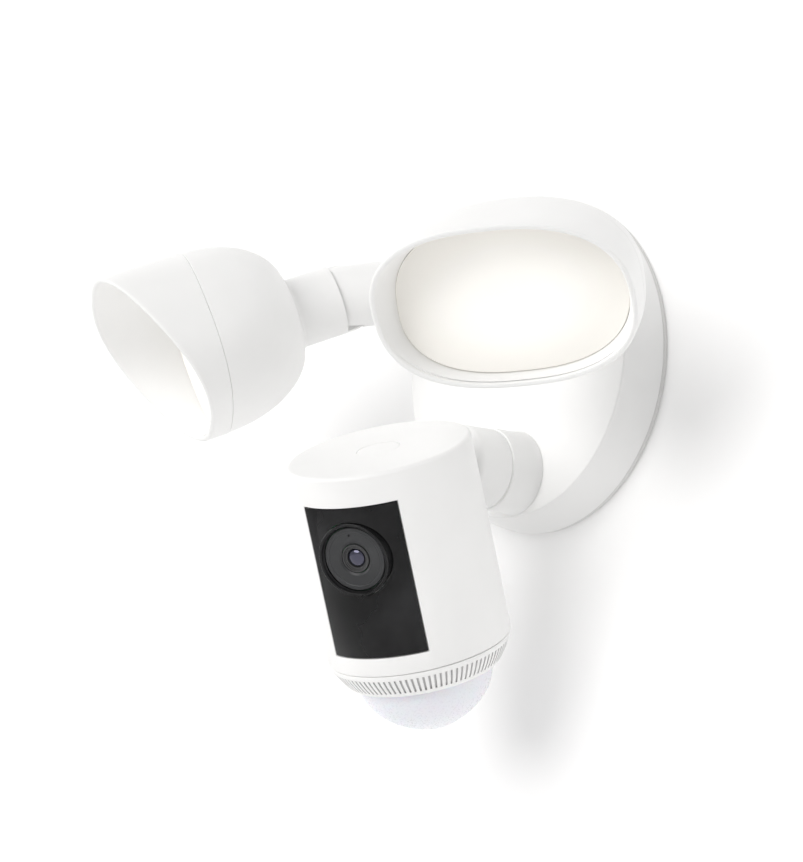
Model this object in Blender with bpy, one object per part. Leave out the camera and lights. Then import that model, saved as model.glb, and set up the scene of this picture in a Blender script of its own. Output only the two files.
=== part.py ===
"""Twin-lamp floodlight security camera on a round wall base.

World frame: origin at the centre of the wall plane, -Y away from the wall, +X to the
right as a viewer faces the light, +Z up. Metres.
"""
import math

import bmesh
import bpy
from mathutils import Matrix, Vector

MM = 0.001
GAP = 0.3                     # clearance between neighbouring solids, mm

# ---- base ---------------------------------------------------------------------------
BASE_R_WALL = 60.0            # radius of the base at the wall
BASE_R_FACE = 55.5            # radius of the crisp front edge
BASE_DEPTH = 17.0
BASE_WALL = 2.4
GASKET_T = 2.0
COVER_T = 2.0
CABLE_HOLE = (20.0, 9.0)     # height above centre and radius of the wire opening
BASE_SCREW_PCD_R = 40.0

# ---- lamps --------------------------------------------------------------------------
LAMP_ROOT = (27.0, 32.0)      # where a lamp stub leaves the base face, |x| and z
KNUCKLE = (52.2, -53.2, 25.8)  # hinge centre of the right-hand lamp
STUB_PAN = 35.2               # stub axis, degrees outward from -Y
STUB_DIP = 9.0                # and degrees below level
NECK_R = 12.6
KNUCKLE_R = 12.6
SWIVEL_R = 11.4
RIM_HALF_W = 43.4             # outer half width of the lamp's rim
RIM_HALF_H = 32.4
RIM_POWER = 2.5               # exponent of the rounded outline
RIM_DIST = 73.3               # hinge centre to rim centre
RIM_WEDGE = 22.2              # the rim plane leans this much further down
SEAM_DIST = 53.4              # hinge centre to the seam between housing and bezel
LAMP_WALL = 2.2
LAMP_REST = {"right": (1, 3.5, 17.1), "left": (-1, -9.8, 12.0)}  # side, swivel, tilt

# ---- camera -------------------------------------------------------------------------
ARM_Z = -40.0                 # height of the camera arm's axis
ARM_R = 14.6
BOSS_END = 30.4               # distances from the wall
ARM_END = 43.0
BALL = (0.0, -62.5, -46.0)    # centre of the pivot ball
BALL_R = 12.0
ARM_NECK_R = 5.0
TONGUE_HALF = 3.5             # half thickness of the arm's flat tongue inside the ball
TONGUE_R = 7.0
PIVOT_TWIST = 10.3            # rest angles of the head: tilt pin about Y, tilt, pan
PIVOT_TILT = 24.7
HEAD_TURN = 23.5
BALL_BACK = 23.4              # ball centre behind the head's axis
BALL_DOWN = 17.6              # and below its top
HEAD_R = 32.0
HEAD_WALL = 2.2
HEAD_SEAM = -70.5             # joint between tube and grille
PLATE_TOP, PLATE_BOTTOM = -10.8, -63.8
PLATE_HALF_ANGLE = 33.4
PLATE_T = 1.2
LENS_Z = -28.6
LENS_RING_R = 12.8
GRILLE_BOTTOM = -80.0
GRILLE_R_BOTTOM = 26.6
GRILLE_SLOTS = 28
DOME_TIP = -101.2
BUTTON_R = 7.2

SEG_BASE = 48
SEG_LAMP = 32
SEG_HEAD = 48


# ---- mesh helpers -------------------------------------------------------------------
def clear_scene():
    for item in list(bpy.data.objects):
        bpy.data.objects.remove(item, do_unlink=True)


def material(name, color, roughness, metallic=0.0):
    made = bpy.data.materials.new(name)
    made.use_nodes = True
    shader = made.node_tree.nodes["Principled BSDF"]
    shader.inputs["Base Color"].default_value = (*color, 1.0)
    shader.inputs["Roughness"].default_value = roughness
    shader.inputs["Metallic"].default_value = metallic
    return made


def add(name, bm, mat, frame=None, cutter=False):
    """Finish a bmesh built in millimetres as an object placed by a frame."""
    bmesh.ops.recalc_face_normals(bm, faces=bm.faces)
    mesh = bpy.data.meshes.new(name)
    for vert in bm.verts:
        vert.co *= MM
    bm.to_mesh(mesh)
    bm.free()
    mesh.shade_smooth()
    mesh.set_sharp_from_angle(angle=math.radians(32))
    made = bpy.data.objects.new(name, mesh)
    bpy.context.scene.collection.objects.link(made)
    placed = (frame or Matrix.Identity(4)).copy()
    placed.translation = placed.translation * MM
    made.matrix_world = placed
    if cutter:
        made.hide_render = True
        made.display_type = "WIRE"
    else:
        mesh.materials.append(mat)
    return made


def boolean(target, tool, operation="DIFFERENCE"):
    step = target.modifiers.new(operation.title(), "BOOLEAN")
    step.operation = operation
    step.solver = "EXACT"
    step.object = tool
    return target


def stitch(bm, sections, closed=False, caps=True):
    """Skin rings of points that all hold the same number of points."""
    rings = [[bm.verts.new(p) for p in ring] for ring in sections]
    count = len(rings[0])
    pairs = list(zip(rings, rings[1:]))
    if closed:
        pairs.append((rings[-1], rings[0]))
    for one, two in pairs:
        for i in range(count):
            j = (i + 1) % count
            bm.faces.new((one[i], one[j], two[j], two[i]))
    if caps and not closed:
        bm.faces.new(rings[0])
        bm.faces.new(rings[-1])
    return bm


def ring(radius, z, segments, phase=0.0):
    """A circle round the local Z axis."""
    turn = 2 * math.pi / segments
    return [(radius * math.cos(phase + i * turn), radius * math.sin(phase + i * turn), z)
            for i in range(segments)]


def turned(profile, segments, closed=False):
    """A solid turned round Z from (radius, z) points; closed joins last to first."""
    return stitch(bmesh.new(), [ring(r, z, segments) for r, z in profile], closed)


def rod(radius, z0, z1, segments=24):
    return turned([(radius, z0), (radius, z1)], segments)


def block(size, centre=(0, 0, 0)):
    bm = bmesh.new()
    bmesh.ops.create_cube(bm, size=1.0)
    for vert in bm.verts:
        vert.co = Vector(centre) + Vector([c * s for c, s in zip(vert.co, size)])
    return bm


def at(x=0.0, y=0.0, z=0.0):
    return Matrix.Translation((x, y, z))


def turn(axis, degrees):
    return Matrix.Rotation(math.radians(degrees), 4, axis)


OUTWARD = turn("X", 90)       # local +Z becomes world -Y


# ---- materials ----------------------------------------------------------------------
WHITE = material("white_plastic", (0.86, 0.86, 0.85), 0.42)
WARM = material("reflector_white", (0.90, 0.87, 0.80), 0.5)
DIFFUSER = material("diffuser", (0.97, 0.95, 0.88), 0.35)
BLACK = material("gloss_black", (0.012, 0.012, 0.013), 0.12)
GREY = material("lens_grey", (0.07, 0.07, 0.075), 0.35)
GLASS = material("lens_glass", (0.03, 0.035, 0.05), 0.03)
DOME = material("motion_dome", (0.80, 0.82, 0.88), 0.3)
RUBBER = material("rubber", (0.72, 0.72, 0.71), 0.7)
STEEL = material("steel", (0.55, 0.55, 0.56), 0.35, 1.0)
ALUMINIUM = material("aluminium", (0.7, 0.7, 0.72), 0.4, 1.0)
BOARD = material("circuit_board", (0.03, 0.22, 0.09), 0.5)
DARK = material("dark_plastic", (0.04, 0.04, 0.04), 0.6)


# ---- base ---------------------------------------------------------------------------
def base_radius(depth):
    """Outer radius of the base at a distance from the wall: a slightly bowed taper."""
    share = depth / BASE_DEPTH
    bow = 0.9 * math.sin(math.pi * share)
    return BASE_R_WALL + (BASE_R_FACE - BASE_R_WALL) * share + bow


def build_base():
    steps = 6
    outer = [(base_radius(GASKET_T + GAP + (BASE_DEPTH - GASKET_T - GAP) * i / steps),
              GASKET_T + GAP + (BASE_DEPTH - GASKET_T - GAP) * i / steps) for i in range(steps)]
    outer.append((BASE_R_FACE + 0.25, BASE_DEPTH - 0.45))
    face = [(BASE_R_FACE - 0.35, BASE_DEPTH)]
    inner = [(base_radius(GASKET_T) - BASE_WALL - 1.5, GASKET_T + GAP),
             (BASE_R_FACE - BASE_WALL - 1.0, BASE_DEPTH - BASE_WALL)]
    shell = add("base_shell", turned(face + outer[::-1] + inner, SEG_BASE), WHITE, OUTWARD)
    # wire holes behind the two lamp stubs and the camera boss
    for x, z in ((LAMP_ROOT[0], LAMP_ROOT[1]), (-LAMP_ROOT[0], LAMP_ROOT[1]), (0, ARM_Z)):
        tool = add("cut_wire_hole", rod(4.5, -10, 10), None,
                   at(x, -BASE_DEPTH + 1.0, z) @ OUTWARD, True)
        boolean(shell, tool)
    seal_out = base_radius(0) - 0.6
    add("wall_gasket", turned([(seal_out, 0.0), (seal_out, GASKET_T), (seal_out - 5.5, GASKET_T),
                               (seal_out - 5.5, 0.0)], SEG_BASE, closed=True), RUBBER, OUTWARD)
    cover_r = seal_out - 6.0
    cover = add("rear_cover", rod(cover_r, GASKET_T + 0.6, GASKET_T + 0.6 + COVER_T, 48), DARK,
                OUTWARD)
    bracket = add("wall_bracket", rod(44.0, 0.0, 1.6, 48), STEEL, OUTWARD)
    wires = add("cut_cable_hole", rod(CABLE_HOLE[1], -2.0, 8.0, 24), None,
                at(0, 0, CABLE_HOLE[0]) @ OUTWARD, True)
    boolean(cover, wires)
    boolean(bracket, wires)
    # slots for the junction box screws
    for angle in (0, 90, 180, 270):
        tool = add("cut_box_slot", block((5.0, 6.0, 18.0), (35.0, -1.0, 0.0)), None,
                   turn("Y", angle), True)
        boolean(bracket, tool)
    inside = GASKET_T + 0.6 + COVER_T + GAP
    for index, angle in enumerate((60, 180, 300)):
        x = BASE_SCREW_PCD_R * math.cos(math.radians(angle)) * 1.15
        z = BASE_SCREW_PCD_R * math.sin(math.radians(angle)) * 1.15
        add(f"cover_screw_{index + 1}", turned([(1.4, inside), (1.4, 13.0), (0.9, 13.8)], 12),
            STEEL, at(x, 0, z) @ OUTWARD)
    add("power_board", block((62.0, 1.6, 34.0), (0, -(inside + 1.2), 4.0)), BOARD)
    add("driver_transformer", block((18.0, 6.0, 16.0), (-16.0, -(inside + 5.4), 6.0)), DARK)
    add("terminal_block", block((22.0, 5.4, 9.0), (14.0, -(inside + 5.1), 10.0)), WHITE)
    add("filter_capacitor", rod(3.0, -9.0, 9.0, 20), DARK,
        at(10.0, -(inside + 5.4), -4.0) @ turn("Y", 90))


# ---- lamps --------------------------------------------------------------------------
def lamp_frames(side, swivel, tilt):
    """Frames at the hinge centre: fixed stub, swivel body and lamp (forward is -Y)."""
    centre = at(side * KNUCKLE[0], KNUCKLE[1], KNUCKLE[2])
    stub = centre @ turn("Z", side * STUB_PAN) @ turn("X", STUB_DIP)
    knuckle = stub @ turn("Y", -side * swivel)
    return stub, knuckle, knuckle @ turn("X", tilt)


def outline(half_w, half_h, power=RIM_POWER, segments=SEG_LAMP):
    """A rounded oval as (x, z) points."""
    points = []
    for i in range(segments):
        angle = 2 * math.pi * i / segments
        c, s = math.cos(angle), math.sin(angle)
        points.append((half_w * math.copysign(abs(c) ** (2 / power), c),
                       half_h * math.copysign(abs(s) ** (2 / power), s)))
    return points


def bell_size(dist, inset=0.0):
    """Half width, half height and exponent of the lamp body at a distance from the hinge."""
    start, end = 20.0, SEAM_DIST
    share = min(max((dist - start) / (end - start), 0.0), 1.0)
    swell = (1 - (1 - share) ** 2.3) ** (1 / 2.0)
    upright = RIM_HALF_H * math.cos(math.radians(RIM_WEDGE)) * 0.995
    half_w = NECK_R + (RIM_HALF_W * 0.99 - NECK_R) * swell
    half_h = NECK_R + (upright - NECK_R) * swell
    return half_w - inset, half_h - inset, 2 + (RIM_POWER - 2) * share


def body_section(dist, inset=0.0):
    half_w, half_h, power = bell_size(dist, inset)
    return [(x, -dist, z) for x, z in outline(half_w, half_h, power)]


def rim_section(back, inset=0.0, depth_share=1.0):
    """A section between the flat seam (share 0) and the leaning rim (share 1)."""
    lean = math.tan(math.radians(RIM_WEDGE))
    half_w = RIM_HALF_W * (0.99 + 0.01 * depth_share) - inset
    half_h = RIM_HALF_H * math.cos(math.radians(RIM_WEDGE)) - inset
    points = []
    for x, z in outline(half_w, half_h):
        rim_y = RIM_DIST + z * lean
        y = SEAM_DIST + GAP + (rim_y - SEAM_DIST - GAP) * depth_share - back
        points.append((x, -y, z))
    return points


def build_lamp(name, side, swivel, tilt):
    stub_frame, knuckle_frame, lamp_frame = lamp_frames(side, swivel, tilt)

    # stub: a round socket on the base face that bends onto the swivel axis
    root = Vector((side * LAMP_ROOT[0], -BASE_DEPTH - GAP, LAMP_ROOT[1]))
    joint = stub_frame @ Vector((0, 23.0, 0))
    axis = (stub_frame.to_3x3() @ Vector((0, -1, 0))).normalized()
    out = Vector((0, -1, 0))
    sections = []
    steps = 6
    for i in range(steps + 1):
        s = i / steps
        reach = (joint - root).length
        a, b = root + out * reach * 0.35, joint - axis * reach * 0.35
        centre = ((1 - s) ** 3 * root + 3 * (1 - s) ** 2 * s * a + 3 * (1 - s) * s * s * b
                  + s ** 3 * joint)
        heading = out.lerp(axis, s).normalized()
        across = heading.cross(Vector((0, 0, 1))).normalized()
        upward = across.cross(heading)
        radius = SWIVEL_R + 0.9 * (1 - s) ** 2
        sections.append([centre + (across * math.cos(t) + upward * math.sin(t)) * radius
                         for t in [2 * math.pi * k / 32 for k in range(32)]])
    add(f"stub_{name}", stitch(bmesh.new(), sections), WHITE)

    # swivel: short cylinder ending in the knuckle's half on the side towards the base
    profile = [(SWIVEL_R, -22.7)]
    profile += [(SWIVEL_R, -2.0)]
    profile += [(SWIVEL_R * math.cos(math.radians(a)), SWIVEL_R * math.sin(math.radians(a)))
                for a in (15, 35, 55, 75)]
    swivel_part = add(f"swivel_{name}", turned(profile, 32), WHITE, knuckle_frame @ OUTWARD)
    cheek = add(f"cut_swivel_{name}", ball_zone(side, KNUCKLE_R + GAP), None, knuckle_frame, True)
    boolean(swivel_part, cheek)

    # housing: neck with the outer half knuckle, swelling into the bell
    sections = []
    cap_steps = (78, 55, 30)
    for angle in cap_steps:
        r, y = NECK_R * math.cos(math.radians(angle)), NECK_R * math.sin(math.radians(angle))
        sections.append([(x, y, z) for x, z in outline(r, r, 2.0)])
    sections.append([(x, 0.0, z) for x, z in outline(NECK_R, NECK_R, 2.0)])
    for dist in (20.0, 21.5, 24.5, 29.0, 36.0, 44.0, SEAM_DIST):
        sections.append(body_section(dist))
    for dist in (SEAM_DIST, 40.0, 31.0):
        sections.append(body_section(dist, LAMP_WALL))
    housing = add(f"housing_{name}", stitch(bmesh.new(), sections), WHITE, lamp_frame)
    cheek = add(f"cut_housing_{name}", ball_zone(-side, KNUCKLE_R + GAP), None, lamp_frame, True)
    boolean(housing, cheek)

    # hinge pin through both cheeks
    bore = add(f"cut_pin_{name}", rod(2.4, -8.9, 8.9, 16), None, lamp_frame @ turn("Y", 90), True)
    boolean(housing, bore)
    boolean(swivel_part, bore)
    add(f"hinge_pin_{name}", turned([(2.1, -8.5), (2.1, 8.5)], 16), STEEL,
        lamp_frame @ turn("Y", 90))

    # bezel: the hood in front of the seam, longer at the top
    sections = [rim_section(0, 0.0, 0.0), rim_section(0, 0.0, 0.5), rim_section(0.8, 0.0, 1.0),
                rim_section(0, 0.7, 1.0), rim_section(0.5, 1.6, 1.0),
                rim_section(0, LAMP_WALL + 1.6, 0.5), rim_section(0, LAMP_WALL + 2.0, 0.0)]
    add(f"bezel_{name}", stitch(bmesh.new(), sections, closed=True), WHITE, lamp_frame)

    # inner parts, each a plate on the lamp axis
    build_lamp_inside(name, lamp_frame)


def ball_zone(side, radius, offset=-GAP / 2):
    """The part of a ball beyond a plane square to X: the room one cheek leaves the other."""
    bm = bmesh.new()
    bmesh.ops.create_uvsphere(bm, u_segments=24, v_segments=12, radius=radius)
    cut = bmesh.ops.bisect_plane(bm, geom=bm.verts[:] + bm.edges[:] + bm.faces[:],
                                 plane_co=(side * offset, 0, 0), plane_no=(-side, 0, 0),
                                 clear_outer=True)
    edges = [e for e in cut["geom_cut"] if isinstance(e, bmesh.types.BMEdge)]
    bmesh.ops.holes_fill(bm, edges=edges, sides=0)
    return bm


def plate(dist, thick, inset, power=RIM_POWER, segments=SEG_LAMP):
    """A flat oval plate square to the lamp axis, its front face at a distance."""
    half_w = RIM_HALF_W * 0.99 - inset
    half_h = RIM_HALF_H * math.cos(math.radians(RIM_WEDGE)) - inset
    shape = outline(half_w, half_h, power, segments)
    return [[(x, -(dist - thick), z) for x, z in shape], [(x, -dist, z) for x, z in shape]]


def build_lamp_inside(name, frame):
    clear = LAMP_WALL + 0.9
    back = SEAM_DIST - 1.0
    # seal: a thin ring squeezed in the seam, just inside the walls
    seal_out, seal_in = plate(back, 1.4, clear), plate(back, 1.4, clear + 2.6)
    add(f"lamp_seal_{name}", stitch(bmesh.new(), [seal_out[0], seal_out[1], seal_in[1], seal_in[0]],
                                    closed=True), RUBBER, frame)
    # reflector: a warm white funnel between the board and the diffuser
    cup = [plate(50.0, 0.0, clear + 3.2)[0], plate(44.0, 0.0, clear + 9.0)[0],
           plate(44.0, 0.0, clear + 10.5)[0], plate(50.0, 0.0, clear + 4.7)[0]]
    add(f"reflector_{name}", stitch(bmesh.new(), cup, closed=True), WARM, frame)
    # diffuser: shallow lens plate, slightly crowned, behind the hood
    lens = [plate(SEAM_DIST + 2.0, 0.0, 5.4)[0], plate(SEAM_DIST + 3.6, 0.0, 5.4)[0],
            plate(SEAM_DIST + 4.6, 0.0, 9.0)[0], plate(SEAM_DIST + 5.0, 0.0, 18.0, 2.3)[0]]
    add(f"diffuser_{name}", stitch(bmesh.new(), lens), DIFFUSER, frame)
    # board with its LED chips standing on it
    board = add(f"led_board_{name}", stitch(bmesh.new(), plate(43.0, 1.6, clear + 9.5)), BOARD, frame)
    for x in (-18, -6, 6, 18):
        chip = add(f"cut_chip_{name}", block((4.0, 1.6, 4.0), (x, -43.4, 0)), None, frame, True)
        boolean(board, chip, "UNION")
    # heat sink: a plate with fins towards the back of the bell
    sink = add(f"heat_sink_{name}", block((44.0, 2.4, 26.0), (0, -39.6, 0)), ALUMINIUM, frame)
    for x in (-15, -9, -3, 3, 9, 15):
        fin = add(f"cut_fin_{name}", block((1.6, 6.0, 22.0), (x, -36.0, 0)), None, frame, True)
        boolean(sink, fin, "UNION")


# ---- camera arm and pivot -----------------------------------------------------------
def pivot_frame():
    """Ball centre; local X is the tilt pin, local Z the axis that the head pans about."""
    return at(*BALL) @ turn("Y", PIVOT_TWIST) @ turn("X", PIVOT_TILT)


def head_frame():
    """Centre of the head's top; local Z is the tube's axis and -Y looks out of the lens."""
    return pivot_frame() @ turn("Z", HEAD_TURN) @ at(0, -BALL_BACK, BALL_DOWN)


def build_camera_arm():
    axis = at(0, 0, ARM_Z) @ OUTWARD
    boss = [(ARM_R + 0.4, BASE_DEPTH + GAP), (ARM_R + 0.1, BASE_DEPTH + 1.2),
            (ARM_R, BASE_DEPTH + 3.0), (ARM_R, BOSS_END - 0.3), (ARM_R - 0.4, BOSS_END)]
    core = [(5.0, BOSS_END), (5.0, BASE_DEPTH + GAP)]
    add("arm_boss", turned(boss + core, 40, closed=True), WHITE, axis)

    # arm: straight barrel, then a slim neck that bends down to the ball's centre
    path = [(BOSS_END + GAP, ARM_Z, ARM_R - 0.9), (BOSS_END + 0.9, ARM_Z, ARM_R - 0.4),
            (ARM_END, ARM_Z, ARM_R - 0.4), (ARM_END + 2.0, ARM_Z - 0.2, ARM_R - 1.4),
            (ARM_END + 3.6, ARM_Z - 0.5, ARM_R - 4.0), (ARM_END + 5.0, ARM_Z - 1.2, ARM_NECK_R + 1.2),
            (ARM_END + 7.0, ARM_Z - 2.0, ARM_NECK_R), (-BALL[1], BALL[2], ARM_NECK_R)]
    sections = [[(x, -depth, height + z) for x, z in outline(radius, radius, 2.0, 36)]
                for depth, height, radius in path]
    arm = add("camera_arm", stitch(bmesh.new(), sections), WHITE)
    tilt_pin = pivot_frame() @ turn("Y", 90)
    boolean(arm, add("cut_tongue", rod(TONGUE_R, -TONGUE_HALF, TONGUE_HALF, 28), None,
                     tilt_pin, True), "UNION")
    for side in (1, -1):
        boolean(arm, add("cut_arm_flat", ball_zone(side, BALL_R + GAP, TONGUE_HALF), None,
                         pivot_frame(), True))
    boolean(arm, add("cut_arm_pin", rod(2.3, -9, 9, 16), None, tilt_pin, True))

    # pivot ball: slotted for the tongue, with short trunnions above and below
    bm = bmesh.new()
    bmesh.ops.create_uvsphere(bm, u_segments=24, v_segments=12, radius=BALL_R)
    ball = add("pivot_ball", bm, DARK, pivot_frame())
    boolean(ball, add("cut_trunnion", rod(2.4, -14.4, 14.4, 20), None, pivot_frame(), True), "UNION")
    slot_half = TONGUE_HALF + 0.4
    boolean(ball, add("cut_ball_slot", block((2 * slot_half, 24.0, 20.4), (0, 12.0 - TONGUE_R - 0.5, 0)),
                      None, pivot_frame(), True))
    boolean(ball, add("cut_ball_pin", rod(2.3, -20, 20, 16), None, tilt_pin, True))
    add("tilt_pin", rod(2.0, -11.0, 11.0, 16), STEEL, tilt_pin)


# ---- camera head --------------------------------------------------------------------
def arc_plate(radius_in, radius_out, half_angle, z0, z1, steps=14):
    """A curved plate on the front of the tube."""
    sections = []
    for i in range(steps + 1):
        a = math.radians(-half_angle + 2 * half_angle * i / steps)
        s, c = math.sin(a), -math.cos(a)
        sections.append([(radius_in * s, radius_in * c, z0), (radius_out * s, radius_out * c, z0),
                         (radius_out * s, radius_out * c, z1), (radius_in * s, radius_in * c, z1)])
    return stitch(bmesh.new(), sections)


def build_head_shell(frame, lens_axis):
    inside = HEAD_R - HEAD_WALL
    profile = [(HEAD_R - 1.3, 0.0), (HEAD_R - 0.5, -0.25), (HEAD_R - 0.1, -0.8), (HEAD_R, -1.6),
               (HEAD_R, HEAD_SEAM + 0.4), (HEAD_R - 0.3, HEAD_SEAM),
               (inside, HEAD_SEAM), (inside, -HEAD_WALL)]
    shell = add("head_housing", turned(profile, SEG_HEAD), WHITE, frame)
    recess = arc_plate(HEAD_R - PLATE_T - GAP, HEAD_R + 2, PLATE_HALF_ANGLE + 0.5,
                       PLATE_BOTTOM - GAP, PLATE_TOP + GAP, 28)
    boolean(shell, add("cut_plate_recess", recess, None, frame, True))
    boolean(shell, add("cut_lens_hole", rod(LENS_RING_R + GAP, 20, 40, 36), None, lens_axis, True))
    boolean(shell, add("cut_ball_hole", rod(BALL_R + 0.6, 18, 40, 36), None,
                       frame @ at(0, 0, -BALL_DOWN) @ turn("X", -90), True))
    boolean(shell, add("cut_button_hole", rod(BUTTON_R + GAP, -5, 5, 32), None, frame, True))
    plate_part = add("faceplate", arc_plate(HEAD_R - PLATE_T, HEAD_R, PLATE_HALF_ANGLE,
                                            PLATE_BOTTOM, PLATE_TOP, 28), BLACK, frame)
    boolean(plate_part, add("cut_plate_hole", rod(LENS_RING_R + GAP, 20, 40, 36), None,
                            lens_axis, True))


def build_lens(frame, lens_axis):
    front = HEAD_R + 0.9
    add("lens_ring", turned([(LENS_RING_R, 26.0), (LENS_RING_R, front - 0.4),
                             (LENS_RING_R - 0.4, front), (LENS_RING_R - 1.0, front),
                             (LENS_RING_R - 1.5, front - 1.2), (LENS_RING_R - 1.5, 26.0)], 40,
                            closed=True), BLACK, lens_axis)
    add("lens_window", turned([(LENS_RING_R - 1.8, front - 2.4), (LENS_RING_R - 1.8, front - 1.3),
                               (5.6, front - 1.3), (5.2, front - 2.4)], 40, closed=True),
        GREY, lens_axis)
    add("lens_barrel", turned([(4.9, 19.0), (4.9, front - 1.6), (4.4, front - 1.2),
                               (3.3, front - 2.2), (3.3, 19.0)], 32, closed=True), DARK, lens_axis)
    dome = [(3.0, front - 4.0)] + [(3.0 * math.cos(math.radians(a)),
                                    front - 3.0 + 1.2 * math.sin(math.radians(a)))
                                   for a in (0, 25, 50, 75)]
    add("lens_glass", turned(dome, 24), GLASS, lens_axis)
    add("sensor_board", block((20.0, 20.0, 1.4), (0, 0, 17.9)), BOARD, lens_axis)


def build_grille(frame):
    top, bottom = HEAD_SEAM - GAP, GRILLE_BOTTOM

    def outer(z):
        share = (top - z) / (top - bottom)
        return HEAD_R - 0.2 + (GRILLE_R_BOTTOM - HEAD_R + 0.2) * share ** 1.35

    levels = [(top, 0.0), (top - 2.0, 0.0), (top - 2.02, 1.3), (top - 4.5, 1.3),
              (bottom + 1.6, 1.3), (bottom + 1.58, 0.0), (bottom + 0.3, 0.0), (bottom, 0.3)]
    pitch = 2 * math.pi / GRILLE_SLOTS

    def level_ring(radius, z, recess):
        points = []
        for i in range(GRILLE_SLOTS):
            for share, cut in ((0.0, 0), (0.5, 0), (0.5001, recess), (0.9999, recess)):
                angle = (i + share) * pitch
                r = radius - cut
                points.append((r * math.cos(angle), r * math.sin(angle), z))
        return points

    sections = [level_ring(outer(z) - (0.3 if recess == 0.3 else 0.0), z,
                           recess if recess > 1 else 0.0) for z, recess in levels]
    core = 22.9
    sections += [level_ring(core, bottom, 0.0), level_ring(core, top, 0.0)]
    add("speaker_grille", stitch(bmesh.new(), sections, closed=True), WHITE, frame)


def build_head_inside(frame):
    # cradle that holds the ball's trunnions, shaped to the inside of the tube
    cradle_r = HEAD_R - HEAD_WALL - GAP
    cradle = add("ball_cradle", turned([(cradle_r, -33.6), (cradle_r, -2.6)], 48), DARK, frame)
    boolean(cradle, add("cut_cradle_front", block((80, 60, 60), (0, -20.0, -20)), None, frame, True))
    for side in (1, -1):
        boolean(cradle, add("cut_cradle_side", block((40, 80, 60), (side * 36.0, 0, -20)), None,
                            frame, True))
    centre = frame @ at(0, BALL_BACK, -BALL_DOWN)
    bm = bmesh.new()
    bmesh.ops.create_uvsphere(bm, u_segments=24, v_segments=12, radius=BALL_R + 0.35)
    boolean(cradle, add("cut_cradle_ball", bm, None, centre, True))
    boolean(cradle, add("cut_cradle_trunnion", rod(2.75, -14.8, 30, 20), None, centre, True))
    boolean(cradle, add("cut_cradle_throat", rod(BALL_R + 0.6, 0, 20, 36), None,
                        centre @ turn("X", -90), True))

    add("main_board", block((44.0, 1.6, 44.0), (0, -6.0, -42.0)), BOARD, frame)
    add("processor_shield", block((18.0, 2.4, 18.0), (0, -8.2, -52.0)), ALUMINIUM, frame)
    add("speaker", turned([(19.0, -74.0), (19.0, -69.5), (12.0, -66.0)], 32), DARK, frame)
    add("motion_board", rod(22.0, -79.4, -77.8, 32), BOARD, frame)
    add("motion_sensor", turned([(4.6, -79.7), (4.6, -83.6), (4.0, -84.0)], 24), STEEL, frame)
    for index, side in enumerate((1, -1)):
        led = frame @ turn("Z", side * 20.0) @ at(0, 0, -52.0) @ turn("X", 90)
        add(f"infrared_led_{index + 1}", rod(2.5, 24.0, 28.6, 16), DARK, led)

    # set-up button in the top, with the switch it presses
    button = [(BUTTON_R - 0.4, 0.0), (BUTTON_R, -0.4), (BUTTON_R, -2.5), (BUTTON_R + 1.4, -2.5),
              (BUTTON_R + 1.4, -3.4), (1.6, -3.4), (1.6, -4.6)]
    add("setup_button", turned(button, 32), WHITE, frame)
    add("button_switch", rod(2.6, -7.4, -5.7, 16), STEEL, frame)
    add("button_board", block((15.0, 15.0, 1.2), (0, 0.2, -8.3)), BOARD, frame)

    # motion dome: a thin rounded shell below the grille
    steps = 6
    top = GRILLE_BOTTOM - GAP
    rim, depth, wall = 23.6, top - DOME_TIP, 1.5

    def dome_curve(radius, height):
        return [(radius * math.cos(math.pi / 2 * i / steps) ** 1.3,
                 top - height * math.sin(math.pi / 2 * i / steps)) for i in range(steps)]

    outer = dome_curve(rim, depth) + [(1.2, DOME_TIP)]
    inner = [(1.2, DOME_TIP + wall)] + dome_curve(rim - wall, depth - wall)[::-1]
    add("motion_dome", shell_of_revolution(outer, inner, 36), DOME, frame)


def shell_of_revolution(outer, inner, segments):
    """A cup: outer skin from rim to tip, inner skin from tip to rim, both capped at the tip."""
    bm = bmesh.new()
    out = [[bm.verts.new(p) for p in ring(r, z, segments)] for r, z in outer]
    ins = [[bm.verts.new(p) for p in ring(r, z, segments)] for r, z in inner]
    rows = list(zip(out, out[1:])) + list(zip(ins, ins[1:])) + [(ins[-1], out[0])]
    for one, two in rows:
        for i in range(segments):
            j = (i + 1) % segments
            bm.faces.new((one[i], one[j], two[j], two[i]))
    bm.faces.new(out[-1])
    bm.faces.new(ins[0])
    return bm


def build_camera():
    frame = head_frame()
    lens_axis = frame @ at(0, 0, LENS_Z) @ turn("X", 90)
    build_camera_arm()
    build_head_shell(frame, lens_axis)
    build_lens(frame, lens_axis)
    build_grille(frame)
    build_head_inside(frame)


def main():
    clear_scene()
    build_base()
    for name, (side, swivel, tilt) in LAMP_REST.items():
        build_lamp(name, side, swivel, tilt)
    build_camera()


main()
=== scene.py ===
"""Looks for the twin-lamp floodlight camera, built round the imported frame.

Lengths here are in millimetres until solid() turns them into metres. Every visible shell
is made again at a finer resolution with the same measures as the CAD model.
"""
import math

import bmesh
import bpy
from mathutils import Matrix, Vector


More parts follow.
